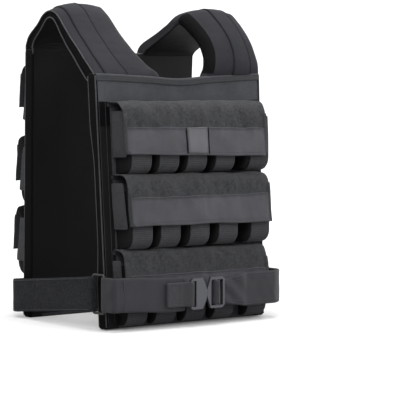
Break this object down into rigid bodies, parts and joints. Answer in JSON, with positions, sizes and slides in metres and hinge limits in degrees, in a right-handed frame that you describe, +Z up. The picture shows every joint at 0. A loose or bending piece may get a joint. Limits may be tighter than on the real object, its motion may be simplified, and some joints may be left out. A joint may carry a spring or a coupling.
{
  "type": "weighted vest",
  "caption": "Padded vest with shoulder straps, rows of flapped block pockets front and back, a bare front patch and a buckled waist belt joined to side straps by wire rings.",
  "frame": {"origin": "Middle of the vest under the two shoulder straps, where they sit on the shoulders, halfway between the front and back panels.", "axes": "+Z up along the standing wearer, -Y towards the front face with the buckle, -X to the wearer's right."},
  "size_m": [0.3873, 0.3566, 0.5513],
  "materials": {
    "canvas": "coarse woven charcoal canvas, matte",
    "satin": "smooth nylon facing on the flaps, slight sheen",
    "lining": "near black smooth lining of the padded panels",
    "pocket_cloth": "black pocket cloth",
    "webbing": "ribbed nylon webbing",
    "strap_nylon": "fine woven nylon over padding",
    "belt_nylon": "fine woven nylon belt",
    "loop_strap": "fuzzy hook and loop tape",
    "patch_cloth": "bare grey woven patch",
    "piping": "narrow woven edge binding",
    "thread": "sewing thread",
    "buckle_metal": "dark grey anodised metal, satin",
    "ring_metal": "black coated wire"
  },
  "bodies": {
    "root": {"panel_front": "canvas", "panel_back": "canvas", "strap_right": "strap_nylon", "strap_left": "strap_nylon", "strap_webbing_right": "webbing", "strap_webbing_left": "webbing", "patch": "patch_cloth", "ring_right": "ring_metal", "ring_left": "ring_metal", "belt_right": "belt_nylon", "belt_left": "belt_nylon", "buckle_webbing": "webbing", "side_strap_right": "loop_strap", "side_strap_left": "loop_strap", "buckle_tongue": "buckle_metal", "buckle_frame": "buckle_metal", "flap_front_1": "canvas", "pocket_front_1_1": "pocket_cloth", "pocket_front_1_2": "pocket_cloth", "pocket_front_1_3": "pocket_cloth", "pocket_front_1_4": "pocket_cloth", "pocket_front_1_5": "pocket_cloth", "flap_front_2": "canvas", "pocket_front_2_1": "pocket_cloth", "pocket_front_2_2": "pocket_cloth", "pocket_front_2_3": "pocket_cloth", "pocket_front_2_4": "pocket_cloth", "pocket_front_2_5": "pocket_cloth", "flap_front_3": "canvas", "pocket_front_3_1": "pocket_cloth", "pocket_front_3_2": "pocket_cloth", "pocket_front_3_3": "pocket_cloth", "pocket_front_3_4": "pocket_cloth", "pocket_front_3_5": "pocket_cloth", "flap_back_1": "canvas", "pocket_back_1_1": "pocket_cloth", "pocket_back_1_2": "pocket_cloth", "pocket_back_1_3": "pocket_cloth", "pocket_back_1_4": "pocket_cloth", "pocket_back_1_5": "pocket_cloth", "flap_back_2": "canvas", "pocket_back_2_1": "pocket_cloth", "pocket_back_2_2": "pocket_cloth", "pocket_back_2_3": "pocket_cloth", "pocket_back_2_4": "pocket_cloth", "pocket_back_2_5": "pocket_cloth", "flap_back_3": "canvas", "pocket_back_3_1": "pocket_cloth", "pocket_back_3_2": "pocket_cloth", "pocket_back_3_3": "pocket_cloth", "pocket_back_3_4": "pocket_cloth", "pocket_back_3_5": "pocket_cloth"}
  },
  "joints": []
}
